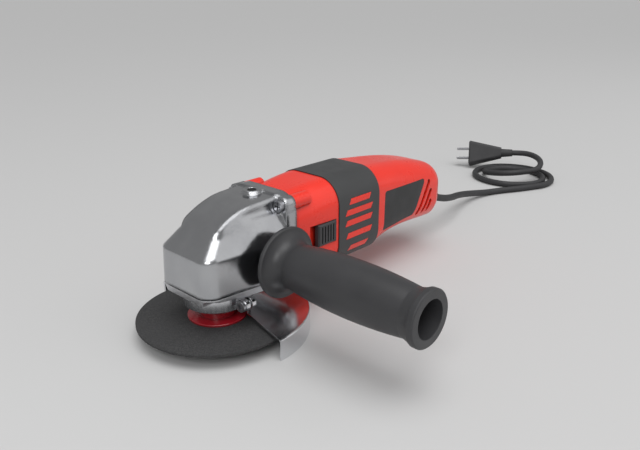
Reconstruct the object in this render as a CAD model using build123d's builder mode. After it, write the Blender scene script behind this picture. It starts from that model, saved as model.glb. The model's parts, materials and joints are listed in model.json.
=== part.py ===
from build123d import *
import math
import os

os.makedirs("parts", exist_ok=True)

# Angle grinder for 115 mm cutting discs, with a polished bevel gear head, a red motor housing,
# a black side handle and a mains lead. Millimetres. The origin is the centre of the spindle's free
# end, Z points up along the spindle, X towards the tail, and the handle points along minus Y.

# Wheel side sizes
disc_radius = 57.5
disc_thickness = 1.6
disc_middle_z = 9.5
disc_bore_radius = 11.1
thread_radius = 7.0
flange_radius = 21.5
flange_plate = 1.6
flange_hub_radius = 13.0
flange_top_z = 16.5
pilot_short = 0.3
nut_radius = 20.0
nut_plate = 3.5
nut_boss_radius = 14.0
nut_boss = 3.0
nut_pin_hole_radius = 2.5
nut_pin_circle = 9.9
slip = 0.05
seat_gap = 0.1

# Guard sizes
guard_radius = 66.0
guard_sheet = 1.4
guard_plate_top_z = 14.5
guard_skirt_bottom_z = -1.0
guard_edge_angle = 13.0
guard_edge_x = 14.2
guard_band = 2.4
guard_band_bottom_z = 22.0
guard_band_top_z = 31.0
guard_ear_angle = -84.0
guard_ear_thickness = 9.0
guard_ear_radius = 4.2
guard_ear_reach = 6.0
guard_split = 2.0
guard_screw_radius = 2.2
guard_turn_gap = 0.06

# Spindle and its bearing
spindle_radius = 6.0
spindle_shoulder_radius = 8.5
spindle_top_radius = 4.0
spindle_top_z = 69.0
lower_bearing_z = 22.0
lower_bearing_width = 10.0
lower_bearing_radius = 16.0
needle_bush_radius = 6.5
needle_bush_z = 62.0
needle_bush_over = 0.5
needle_bush_room = 1.0
race_thickness = 2.8
ball_count = 8

# Bevel gears
gear_teeth = 35
pinion_teeth = 11
gear_module = 1.2
tooth_face_width = 7.0
tooth_addendum = 0.75
tooth_dedendum = 1.0
tooth_half_width = 0.58
pinion_tooth_half_width = 0.52
tooth_flank_angle = 20.0

# Gear head
axis_z = 59.5
neck_radius = 21.0
neck_bottom_z = 17.0
neck_tip_radius = 15.0
neck_clearance = 0.6
cover_plate_z = 32.0
cover_draft = 1.4
head_base_z = 37.5
head_crease_z = 64.0
head_shoulder_z = 76.0
head_top_z = 94.0
head_front_x = -29.0
head_back_x = 41.0
head_front_half = 27.5
head_draft = 1.0
head_middle_x = 16.0
head_middle_half = 32.0
head_back_half = 33.5
shoulder_front_x = -15.5
shoulder_front_half = 19.5
shoulder_back_half = 27.0
ridge_front_x = -10.0
ridge_front_half = 14.0
ridge_back_half = 19.5
roof_bend_x = 0.5
roof_bend_z = 86.4
roof_level_x = 27.0
roof_level_z = 92.2
roof_end_z = 93.2
crease_round = 1.5
head_corner_radius = 12.0
gear_chamber_radius = 24.0
gear_chamber_top_z = 61.0
pinion_chamber_radius = 14.0
motor_face_x = 50.0
joint_flange_width = 62.0
joint_flange_height = 70.0
joint_flange_corner = 15.0
joint_screw_y = 24.5
joint_screw_z = 27.5
joint_screw_radius = 2.2
joint_screw_head_radius = 4.2
joint_screw_head = 3.4

# Side handle
handle_x = 28.0
handle_z = 53.5
handle_boss_radius = 11.0
handle_boss_y = 41.0
handle_stud_radius = 4.0
handle_hole_depth = 15.0
handle_flange_radius = 25.3
handle_flange = 3.2
handle_neck_radius = 15.9
handle_belly_radius = 19.0
handle_end_neck_radius = 16.0
handle_end_radius = 18.5
handle_bore_radius = 12.4
handle_length = 119.0
handle_bore_depth = 46.0
handle_edge = 0.8
handle_rim = 4.0
handle_stop_blend = 9.5
handle_end_blend = 12.0
stud_reach = 26.0

# Spindle lock
lock_x = 36.0
lock_boss_radius = 7.0
lock_boss_top_z = 95.0
lock_button_radius = 3.4
lock_button_sink = 0.8
lock_button_height = 6.0
lock_pin_radius = 2.4
lock_stroke = 1.8
lock_collar_radius = 9.0
lock_hole_depth = 3.5
lock_pin_clearance = 0.4
lock_clip_radius = 4.2
lock_clip = 1.0
lock_spring_length = 4.0

# Motor shaft and its bearings
shaft_radius = 5.0
shaft_nose_radius = 3.0
shaft_nose_x = 8.5
shaft_tail_radius = 4.0
front_bearing_x = 42.0
front_bearing_width = 8.0
front_bearing_radius = 13.0
rear_bearing_inset = 5.0
rear_bearing_width = 7.0
rear_bearing_radius = 11.0
rear_seat_radius = 13.0
bearing_race = 2.4

# Motor
stator_x = 68.0
stator_inset = 8.0
stator_radius = 26.0
stator_inner_radius = 19.0
pole_radius = 15.6
pole_half_angle = 52.0
coil_end = 6.0
armature_radius = 15.0
armature_slots = 12
armature_slot_width = 2.4
armature_slot_depth = 5.0
winding_radius = 13.5
winding_end = 6.5
commutator_inset = 22.0
commutator_length = 13.0
commutator_radius = 10.5
commutator_neck_radius = 7.5
commutator_bars = 24
fan_x = 52.0
fan_radius = 24.0
fan_blades = 9
fan_plate = 1.5
fan_depth = 6.0
baffle_x = 58.6
baffle_plate = 1.4
brush_width = 6.0
brush_height = 9.0
brush_length = 9.0
brush_holder_wall = 1.2
brush_gap = 0.3

# Motor housing
housing_neck_width = 59.0
housing_neck_height = 60.0
housing_middle_x = 72.0
housing_middle_width = 63.0
housing_middle_height = 67.0
housing_width = 65.0
housing_height = 70.0
housing_corner = 20.0
housing_bore_radius = 26.2
band_x = 93.0
band_length = 48.0
band_thickness = 2.0
band_proud = 0.7
rib_height = 4.7
rib_skew = 2.4
rib_gap = 0.15

# Rear housing
waist_back = 34.0
waist_width = 62.0
waist_height = 60.5
waist_rise = 1.1
rear_middle_back = 64.0
rear_middle_width = 59.5
rear_middle_height = 57.0
rear_middle_rise = -1.5
tail_start_back = 91.0
tail_width = 56.0
tail_height = 52.5
tail_rise = -6.0
tail_back = 103.0
tail_inset = 5.0
tail_round = 12.0
panel_depth = 1.6
panel_gap = 0.15
slot_width = 4.2
slot_floor_y = 26.5
cover_screw_radius = 1.9
cover_screw_head_radius = 3.4
cover_screw_sink = 2.8
cover_screw_head = 2.4
retainer_plate = 1.6
rear_screw_length = 26.0
rear_screw_short = 1.0

# Switch
switch_x = 70.0
switch_length = 20.0
switch_height = 17.0
switch_z = 57.5
switch_travel = 6.0
switch_pocket_depth = 4.9
switch_proud = 1.1
switch_gap = 0.3
rod_width = 5.0
rod_thickness = 1.4
rod_reach = 7.0
rod_clearance = 1.5
rod_start = 4.0
switch_body_size = (30.0, 20.0, 20.0)
capacitor_size = (26.0, 14.0, 22.0)
switch_body_back = 28.0
switch_body_side = 12.0

# Mains lead
cord_radius = 3.5
cord_exit_z = 46.0
arc_share = 0.45
lead_first_run = 14.0
lead_last_run = 22.0
end_first_run = 13.0
end_last_run = 14.0
boot_drop = 20.0
boot_length = 38.0
boot_inset = 6.0
boot_flange = 8.0
boot_room = 8.0
clamp_radius = 8.0
clamp_length = 6.0
boot_root_radius = 6.4
boot_tip_radius = 4.6
floor_z = guard_skirt_bottom_z
plug_heading = 115.0
plug_drop = 5.0
plug_roll = 60.0
plug_neck_length = 14.0
plug_neck_radius = 5.5
plug_length = 42.0
plug_root_width = 14.0
plug_root_thickness = 11.0
plug_width = 34.0
plug_thickness = 14.0
plug_corner = 4.0
blade_root = 8.0
blade_length = 16.0
blade_width = 6.4
blade_thickness = 1.6
blade_pitch = 12.7

# Places that follow from the sizes above
rear_x = band_x + band_length
stator_length = band_length - stator_inset
rear_bearing_x = rear_x - rear_bearing_inset
commutator_x = rear_x - commutator_inset
waist_x = rear_x + waist_back
rear_middle_x = rear_x + rear_middle_back
tail_start_x = rear_x + tail_start_back
tail_x = rear_x + tail_back
switch_pocket_y = switch_pocket_depth - housing_width / 2
switch_face_y = -switch_proud - housing_width / 2
rod_end_x = rear_x + rod_reach
disc_top_z = disc_middle_z + disc_thickness / 2
disc_bottom_z = disc_middle_z - disc_thickness / 2
lower_bearing_top_z = lower_bearing_z + lower_bearing_width
gear_pitch_radius = gear_module * gear_teeth / 2
pinion_pitch_radius = gear_module * pinion_teeth / 2
cone_length = math.hypot(gear_pitch_radius, pinion_pitch_radius)
gear_seat_top_z = axis_z - pinion_pitch_radius
stator_end_x = stator_x + stator_length
lock_button_z = lock_boss_top_z - lock_button_sink - lock_button_height
lock_pin_bottom_z = axis_z + lock_collar_radius + lock_pin_clearance + lock_stroke
lock_clip_z = lock_pin_bottom_z + 3.0
cover_screw_places = [(-15, -19), (-15, 19), (30, -26), (30, 26)]
cord_z = floor_z + cord_radius
switch_body_place = (rear_x + switch_body_back, -switch_body_side, axis_z)
capacitor_place = (rear_x + switch_body_back, switch_body_side, axis_z)
panel_corners = [(9.5, 73.5), (69.5, 71.5), (53.0, 40.0), (9.0, 39.5)]
tail_slot_ends = [((61, 41), (76.5, 67)), ((69.5, 41), (80, 58)), ((77, 41), (80.5, 48))]
rear_screw_spots = [(11, 86), (11, 32), (81, 76), (70, 34)]

# Places on the mains lead: the boot slopes down from the tail, the lead comes down to the floor
boot_direction = Vector(math.cos(math.radians(boot_drop)), 0, -math.sin(math.radians(boot_drop)))
boot_start = Vector(tail_x - boot_inset, 0, cord_exit_z)
boot_plane = Plane(origin=boot_start, x_dir=(0, 1, 0), z_dir=boot_direction)
boot_tip = boot_start + boot_direction * boot_length
lead_points = [
    boot_tip + boot_direction * lead_first_run,
    (311, 4, 22.5),
    (336, 12, 17.5),
    (362, 18, 11.5),
    (388, 20, 6.0),
    (409, 17, 2.7),
    (428.5, 9, 2.5),
]
coil_angle = math.radians(245)
coil_out = Vector(math.cos(coil_angle), math.sin(coil_angle), 0)
coil_along = Vector(-math.sin(coil_angle), math.cos(coil_angle), 0)
coil_radii = [47.5, 42.5, 37.5, 28.0]
coil_middle = Vector(493, 29, cord_z)
coil_climb = 10.0
coil_points = [coil_middle + coil_out * coil_radii[0]]
coil_middles = []
for index, radius in enumerate(coil_radii):
    side = 1 if index % 2 == 0 else -1
    centre = coil_points[-1] - coil_out * (side * radius)
    rise = Vector(0, 0, coil_climb) if index == len(coil_radii) - 1 else Vector(0, 0, 0)
    coil_points.append(centre - coil_out * (side * radius) + rise)
    coil_middles.append(centre + coil_along * (side * math.hypot(radius, rise.Z / 2)) + rise / 2)
coil_start = coil_points[0]
coil_entry = coil_start - coil_along * (2 * cord_radius)
coil_exit = coil_points[-1] + coil_along * (2 * cord_radius)
lead_points.append(coil_entry - coil_along * lead_last_run)
end_points = [
    coil_exit + coil_along * end_first_run,
    (517.6, 3.6, 15.5),
    (530.8, 10.6, 19.0),
    (538.9, 23.6, 21.5),
    (539.4, 38.9, 22.4),
]
plug_turn = math.radians(plug_heading)
plug_fall = math.radians(plug_drop)
plug_lean = math.radians(plug_roll)
plug_direction = Vector(
    math.cos(plug_turn) * math.cos(plug_fall),
    math.sin(plug_turn) * math.cos(plug_fall),
    -math.sin(plug_fall),
)
plug_side = Vector(math.sin(plug_turn), -math.cos(plug_turn), 0)
plug_up = plug_side.cross(plug_direction)
plug_broad = plug_side * math.cos(plug_lean) + plug_up * math.sin(plug_lean)
plug_neck = Vector(*end_points[-1]) + plug_direction * end_last_run
plug_plane = Plane(origin=plug_neck, x_dir=plug_broad, z_dir=plug_direction)


def across(x):
    """The plane square to the motor axis at x, with its own x along Y and its own y along Z."""
    return Plane(origin=(x, 0, axis_z), x_dir=(0, 1, 0), z_dir=(1, 0, 0))


def motor_ring(x, length, outer, inner=0.0, mode=Mode.ADD):
    """A disc or ring on the motor axis that starts at x and runs towards the tail."""
    with BuildSketch(across(x)) as profile:
        Circle(outer)
        if inner:
            Circle(inner, mode=Mode.SUBTRACT)
    extrude(profile.sketch, amount=length, mode=mode)


def spindle_ring(z, height, outer, inner=0.0, mode=Mode.ADD):
    """A disc or ring on the spindle axis that starts at z and rises."""
    with BuildSketch(Plane.XY.offset(z)) as profile:
        Circle(outer)
        if inner:
            Circle(inner, mode=Mode.SUBTRACT)
    extrude(profile.sketch, amount=height, mode=mode)


def keep(builder, label):
    """Label a finished piece and write its file."""
    builder.part.label = label
    export_step(builder.part, f"parts/{label}.step")


# Cutting disc: a thin bonded abrasive wheel with its arbor hole
with BuildPart() as grinding_disc:
    spindle_ring(disc_bottom_z, disc_thickness, disc_radius, disc_bore_radius)
keep(grinding_disc, "grinding_disc")

# Inner flange: the red driving washer above the disc, with a pilot in the arbor hole
pilot_depth = disc_thickness - pilot_short
with BuildPart() as inner_flange:
    spindle_ring(disc_top_z - pilot_depth, pilot_depth, disc_bore_radius - seat_gap, thread_radius + slip)
    spindle_ring(disc_top_z, flange_plate, flange_radius, thread_radius + slip)
    spindle_ring(disc_top_z, flange_top_z - disc_top_z, flange_hub_radius, thread_radius + slip)
    rim = inner_flange.edges().filter_by(GeomType.CIRCLE).group_by(SortBy.RADIUS)[-1]
    chamfer(rim.sort_by(Axis.Z)[-1], flange_plate / 4)
keep(inner_flange, "inner_flange")

# Clamp nut: the slim round nut under the disc, with two holes for its pin spanner
with BuildPart() as clamp_nut:
    spindle_ring(disc_bottom_z - nut_plate, nut_plate, nut_radius, thread_radius + slip)
    spindle_ring(disc_bottom_z - nut_plate - nut_boss, nut_boss, nut_boss_radius, thread_radius + slip)
    with BuildSketch(Plane.XY.offset(disc_bottom_z - nut_plate - nut_boss)):
        with PolarLocations(nut_pin_circle + nut_pin_hole_radius / 4, 2):
            Circle(nut_pin_hole_radius)
    extrude(amount=nut_boss, mode=Mode.SUBTRACT)
keep(clamp_nut, "clamp_nut")

# Spindle: thread, shoulder, bearing seat, gear seat and the thin top journal
with BuildPart() as spindle:
    spindle_ring(0, flange_top_z, thread_radius)
    spindle_ring(flange_top_z, lower_bearing_z - flange_top_z, spindle_shoulder_radius)
    spindle_ring(lower_bearing_z, gear_seat_top_z - lower_bearing_z, spindle_radius)
    spindle_ring(gear_seat_top_z, spindle_top_z - gear_seat_top_z, spindle_top_radius)
    chamfer(spindle.edges().sort_by(Axis.Z)[0], 1.0)
keep(spindle, "spindle")


def bearing_balls(centre_plane, pitch_radius, ball_radius):
    """A ring of balls about the plane's own z axis."""
    with BuildPart(centre_plane) as balls:
        with PolarLocations(pitch_radius, ball_count):
            Sphere(ball_radius)
    return balls


# Spindle bearing: outer ring, inner ring and balls in a grooved track
lower_pitch = (lower_bearing_radius + spindle_radius) / 2
lower_ball = (lower_bearing_radius - spindle_radius) / 2 - race_thickness + 0.7
lower_mid_z = lower_bearing_z + lower_bearing_width / 2
outer_race_radius = lower_bearing_radius - race_thickness
inner_race_radius = spindle_radius + race_thickness
with BuildPart() as spindle_bearing_outer:
    spindle_ring(lower_bearing_z, lower_bearing_width, lower_bearing_radius, outer_race_radius)
    with Locations((0, 0, lower_mid_z)):
        Torus(lower_pitch, lower_ball + slip, mode=Mode.SUBTRACT)
keep(spindle_bearing_outer, "spindle_bearing_outer")

with BuildPart() as spindle_bearing_inner:
    spindle_ring(lower_bearing_z, lower_bearing_width, inner_race_radius, spindle_radius + slip)
    with Locations((0, 0, lower_mid_z)):
        Torus(lower_pitch, lower_ball + slip, mode=Mode.SUBTRACT)
keep(spindle_bearing_inner, "spindle_bearing_inner")

spindle_bearing_balls = bearing_balls(Plane.XY.offset(lower_mid_z), lower_pitch, lower_ball)
keep(spindle_bearing_balls, "spindle_bearing_balls")

# Needle bush that carries the top of the spindle
with BuildPart() as needle_bush:
    bush_length = spindle_top_z + needle_bush_over - needle_bush_z
    spindle_ring(needle_bush_z, bush_length, needle_bush_radius, spindle_top_radius + slip)
keep(needle_bush, "needle_bush")


def bevel_tooth(pitch_radius, apex_height, half_width):
    """One straight bevel tooth, apex at the origin and axis along Z, and the roots of its heel and toe."""
    cone = math.atan2(pitch_radius, apex_height)
    toe = (cone_length - tooth_face_width) / cone_length
    along = Vector(math.sin(cone), 0, -math.cos(cone))
    outward = Vector(math.cos(cone), 0, math.sin(cone))
    flank = math.tan(math.radians(tooth_flank_angle))
    tip = tooth_addendum * gear_module
    root = tooth_dedendum * gear_module
    half = half_width * gear_module

    with BuildPart() as tooth:
        for scale in (1, toe):
            with BuildSketch(Plane(origin=along * (cone_length * scale), x_dir=(0, 1, 0), z_dir=along)):
                with BuildLine():
                    Polyline(
                        (-(half + flank * root) * scale, -root * 1.3 * scale),
                        ((half + flank * root) * scale, -root * 1.3 * scale),
                        ((half - flank * tip) * scale, tip * scale),
                        (-(half - flank * tip) * scale, tip * scale),
                        close=True,
                    )
                make_face()
        loft(ruled=True)

    heel_root = along * cone_length - outward * root
    toe_root = (along * cone_length - outward * root) * toe
    return tooth.part, heel_root, toe_root


# Bevel gear on the spindle: a toothed ring that faces up, on a stepped hub
gear_tooth, gear_heel, gear_toe = bevel_tooth(gear_pitch_radius, pinion_pitch_radius, tooth_half_width)
gear_back_z = 46.0 - axis_z
gear_hub_z = lower_bearing_top_z - axis_z
gear_hub_radius = inner_race_radius
with BuildPart() as gear_shape:
    with BuildSketch(Plane.XZ):
        with BuildLine():
            Polyline(
                (spindle_radius + slip, gear_hub_z),
                (gear_hub_radius, gear_hub_z),
                (gear_hub_radius, gear_back_z),
                (gear_heel.X - 3.0, gear_back_z),
                (gear_heel.X + 0.5, gear_heel.Z - 1.6),
                (gear_heel.X, gear_heel.Z),
                (gear_toe.X, gear_toe.Z),
                (gear_toe.X - 1.5, gear_toe.Z - 1.5),
                (spindle_radius + slip, gear_toe.Z - 1.5),
                close=True,
            )
        make_face()
    revolve(axis=Axis.Z)
    with PolarLocations(0, gear_teeth):
        add(gear_tooth)
with BuildPart() as bevel_gear:
    with Locations((0, 0, axis_z)):
        add(gear_shape.part)
keep(bevel_gear, "bevel_gear")

# Bevel pinion on the motor shaft
pinion_tooth, pinion_heel, pinion_toe = bevel_tooth(
    pinion_pitch_radius, gear_pitch_radius, pinion_tooth_half_width
)
pinion_hub_length = 6.0
pinion_nose = 1.2
with BuildPart() as pinion_shape:
    with BuildSketch(Plane.XZ):
        with BuildLine():
            Polyline(
                (shaft_nose_radius + slip, pinion_toe.Z + pinion_nose),
                (pinion_toe.X - 0.2, pinion_toe.Z + pinion_nose),
                (pinion_toe.X, pinion_toe.Z),
                (pinion_heel.X, pinion_heel.Z),
                (pinion_heel.X + 0.6, pinion_heel.Z - 0.8),
                (pinion_heel.X + 0.6, pinion_heel.Z - pinion_hub_length),
                (shaft_nose_radius + slip, pinion_heel.Z - pinion_hub_length),
                close=True,
            )
        make_face()
    revolve(axis=Axis.Z)
    with PolarLocations(0, pinion_teeth):
        add(pinion_tooth)
pinion_back_x = -pinion_heel.Z + pinion_hub_length
pinion_front_x = -pinion_toe.Z - pinion_nose
with BuildPart() as bevel_pinion:
    with Locations(Location((0, 0, axis_z), (0, -90, 0))):
        add(pinion_shape.part)
keep(bevel_pinion, "bevel_pinion")

# Nut that holds the pinion on the nose of the shaft
with BuildPart() as pinion_nut:
    with BuildSketch(across(shaft_nose_x + 0.8)):
        RegularPolygon(4.9, 6)
        Circle(shaft_nose_radius + slip, mode=Mode.SUBTRACT)
    extrude(amount=pinion_front_x - shaft_nose_x - 0.8)
keep(pinion_nut, "pinion_nut")

# Motor shaft, stepped at the pinion and at the rear bearing
shaft_tail_x = rear_bearing_x + rear_bearing_width + 1.0
with BuildPart() as motor_shaft:
    motor_ring(shaft_nose_x, pinion_back_x - shaft_nose_x, shaft_nose_radius)
    motor_ring(pinion_back_x, rear_bearing_x - pinion_back_x, shaft_radius)
    motor_ring(rear_bearing_x, shaft_tail_x - rear_bearing_x, shaft_tail_radius)
keep(motor_shaft, "motor_shaft")

# Lock collar on the shaft, with four holes for the lock pin
with BuildPart() as lock_collar:
    motor_ring(pinion_back_x, front_bearing_x - pinion_back_x, lock_collar_radius, shaft_radius + slip)
    with Locations(Location((lock_x, 0, axis_z), (0, 90, 0))):
        with PolarLocations(0, 4, start_angle=45):
            with Locations(Location((lock_collar_radius, 0, 0), (0, 90, 0))):
                Cylinder(lock_pin_radius + seat_gap, 2 * lock_hole_depth, mode=Mode.SUBTRACT)
keep(lock_collar, "lock_collar")


def motor_bearing(x, width, outer, inner, label):
    """A ball bearing on the motor axis: outer ring, inner ring and balls, as three pieces."""
    pitch = (outer + inner) / 2
    ball = (outer - inner) / 2 - bearing_race + 0.6
    with BuildPart() as outer_ring:
        motor_ring(x, width, outer, outer - bearing_race)
        with Locations(Location((x + width / 2, 0, axis_z), (0, 90, 0))):
            Torus(pitch, ball + slip, mode=Mode.SUBTRACT)
    keep(outer_ring, f"{label}_outer")
    with BuildPart() as inner_ring:
        motor_ring(x, width, inner + bearing_race, inner + slip)
        with Locations(Location((x + width / 2, 0, axis_z), (0, 90, 0))):
            Torus(pitch, ball + slip, mode=Mode.SUBTRACT)
    keep(inner_ring, f"{label}_inner")
    keep(bearing_balls(across(x + width / 2), pitch, ball), f"{label}_balls")


motor_bearing(front_bearing_x, front_bearing_width, front_bearing_radius, shaft_radius, "front_bearing")
motor_bearing(rear_bearing_x, rear_bearing_width, rear_bearing_radius, shaft_tail_radius, "rear_bearing")

# Rubber seat round the rear bearing
with BuildPart() as rear_bearing_seat:
    motor_ring(rear_bearing_x, rear_bearing_width, rear_seat_radius, rear_bearing_radius)
keep(rear_bearing_seat, "rear_bearing_seat")

# Cooling fan: a back plate and hub with radial blades
with BuildPart() as fan:
    motor_ring(fan_x, fan_plate, fan_radius, shaft_radius + slip)
    motor_ring(fan_x, fan_depth, shaft_radius + 3.5, shaft_radius + slip)
    with BuildSketch(across(fan_x)):
        with PolarLocations((fan_radius + shaft_radius + 3) / 2, fan_blades):
            Rectangle(fan_radius - shaft_radius - 3.5, fan_plate)
    extrude(amount=fan_depth)
keep(fan, "fan")

# Baffle ring that guides the cooling air past the fan
with BuildPart() as fan_baffle:
    motor_ring(baffle_x, baffle_plate, housing_bore_radius, stator_inner_radius)
keep(fan_baffle, "fan_baffle")


def sector(outer, inner, middle_angle, half_angle):
    """A ring sector in the active sketch, about its own origin."""
    with BuildLine() as outline:
        outer_arc = CenterArc((0, 0), outer, middle_angle - half_angle, 2 * half_angle)
        inner_arc = CenterArc((0, 0), inner, middle_angle - half_angle, 2 * half_angle)
        Line(outer_arc @ 0, inner_arc @ 0)
        Line(outer_arc @ 1, inner_arc @ 1)
    make_face(outline.edges())


# Stator: a yoke ring with two pole shoes
with BuildPart() as stator_core:
    motor_ring(stator_x, stator_length, stator_radius, stator_inner_radius)
    with BuildSketch(across(stator_x)):
        for side in (0, 180):
            sector(stator_inner_radius + 1, pole_radius, side, pole_half_angle)
    extrude(amount=stator_length)
keep(stator_core, "stator_core")

# Field coils: two packs that lie between the pole shoes and swell past both ends of the stator
coil_half_angle = 90 - pole_half_angle - 3
with BuildPart() as field_coils:
    with BuildSketch(across(stator_x - coil_end)):
        for side in (90, 270):
            sector(stator_inner_radius - seat_gap, pole_radius + 0.4, side, coil_half_angle)
    extrude(amount=stator_length + 2 * coil_end)
    for x in (stator_x - coil_end, stator_end_x + seat_gap):
        with BuildSketch(across(x)):
            for side in (90, 270):
                sector(stator_radius - 2, pole_radius + 0.4, side, coil_half_angle + 30)
        extrude(amount=coil_end - seat_gap)
keep(field_coils, "field_coils")

# Armature: slotted core, end windings and commutator on the shaft
with BuildPart() as armature_core:
    motor_ring(stator_x, stator_length, armature_radius, shaft_radius + slip)
    with BuildSketch(across(stator_x)):
        with PolarLocations(armature_radius - armature_slot_depth / 2 + 0.5, armature_slots):
            Rectangle(armature_slot_depth + 1, armature_slot_width)
    extrude(amount=stator_length, mode=Mode.SUBTRACT)
keep(armature_core, "armature_core")

with BuildPart() as armature_windings:
    motor_ring(stator_x - winding_end, winding_end, winding_radius, shaft_radius + slip)
    motor_ring(stator_end_x, winding_end, winding_radius, shaft_radius + slip)
    outer_edges = armature_windings.edges().filter_by(GeomType.CIRCLE).group_by(SortBy.RADIUS)[-1]
    fillet(outer_edges, winding_end / 3)
keep(armature_windings, "armature_windings")

with BuildPart() as commutator:
    winding_end_x = stator_end_x + winding_end
    motor_ring(winding_end_x, commutator_x - winding_end_x, commutator_neck_radius, shaft_radius + slip)
    motor_ring(commutator_x, commutator_length, commutator_radius, shaft_radius + slip)
    with BuildSketch(across(commutator_x)):
        with PolarLocations(commutator_radius, commutator_bars):
            Rectangle(1.2, 0.5)
    extrude(amount=commutator_length, mode=Mode.SUBTRACT)
keep(commutator, "commutator")

# Brushes: holders, carbon blocks and rolled ribbon springs on both sides of the commutator
brush_x = commutator_x + commutator_length / 2
brush_start = commutator_radius + brush_gap
brush_end = math.sqrt(housing_bore_radius**2 - (brush_height / 2 + brush_holder_wall) ** 2) - seat_gap
holder_start = brush_start + 2.5
spring_radius = (brush_end - brush_start - brush_length - brush_holder_wall) / 2
with BuildPart() as brush_holders:
    for side in (-1, 1):
        with BuildSketch(Plane.XZ.offset(-side * holder_start)):
            with Locations((brush_x, axis_z)):
                Rectangle(brush_width + 2 * brush_holder_wall, brush_height + 2 * brush_holder_wall)
                Rectangle(brush_width + 2 * seat_gap, brush_height + 2 * seat_gap, mode=Mode.SUBTRACT)
        extrude(amount=-side * (brush_end - holder_start))
        with BuildSketch(Plane.XZ.offset(-side * (brush_end - brush_holder_wall))):
            with Locations((brush_x, axis_z)):
                Rectangle(brush_width + 2 * brush_holder_wall, brush_height + 2 * brush_holder_wall)
        extrude(amount=-side * brush_holder_wall)
keep(brush_holders, "brush_holders")

with BuildPart() as carbon_brushes:
    for side in (-1, 1):
        with BuildSketch(Plane.XZ.offset(-side * brush_start)):
            with Locations((brush_x, axis_z)):
                Rectangle(brush_width, brush_height)
        extrude(amount=-side * brush_length)
keep(carbon_brushes, "carbon_brushes")

with BuildPart() as brush_springs:
    for side in (-1, 1):
        spring_y = side * (brush_start + brush_length + spring_radius)
        with BuildSketch(Plane.XY.offset(axis_z - brush_height / 2 + 1)):
            with Locations((brush_x, spring_y)):
                Circle(spring_radius)
                Circle(spring_radius / 2, mode=Mode.SUBTRACT)
        extrude(amount=brush_height - 2)
keep(brush_springs, "brush_springs")


def head_outline(front_x, front_half, middle_half, back_half, corner):
    """The plan of the gear head: narrow at the rounded front, wider towards the motor."""
    with BuildSketch() as outline:
        with BuildLine():
            Polyline(
                (front_x, -front_half),
                (head_middle_x, -middle_half),
                (head_back_x, -back_half),
                (head_back_x, back_half),
                (head_middle_x, middle_half),
                (front_x, front_half),
                close=True,
            )
        make_face()
        fillet(outline.vertices().group_by(Axis.X)[0], corner)
    return outline.sketch


# Gear case: a tapered casting with vertical walls, a sloped shoulder and a roof that climbs to the motor
shoulder_middle_half = shoulder_back_half - 1.0
ridge_middle_half = ridge_back_half - 1.5
roof_clear_z = head_top_z + head_back_half
base_outline = head_outline(
    head_front_x, head_front_half, head_middle_half, head_back_half, head_corner_radius
)
crease_outline = head_outline(
    head_front_x + head_draft,
    head_front_half - head_draft,
    head_middle_half - head_draft,
    head_back_half - head_draft,
    head_corner_radius - head_draft,
)
shoulder_outline = head_outline(
    shoulder_front_x,
    shoulder_front_half,
    shoulder_middle_half,
    shoulder_back_half,
    head_corner_radius * 0.75,
)
ridge_outline = head_outline(
    ridge_front_x, ridge_front_half, ridge_middle_half, ridge_back_half, head_corner_radius / 2
)
head_levels = [
    (head_base_z, base_outline),
    (head_crease_z, crease_outline),
    (head_shoulder_z, shoulder_outline),
    (head_top_z, ridge_outline),
]
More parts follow.
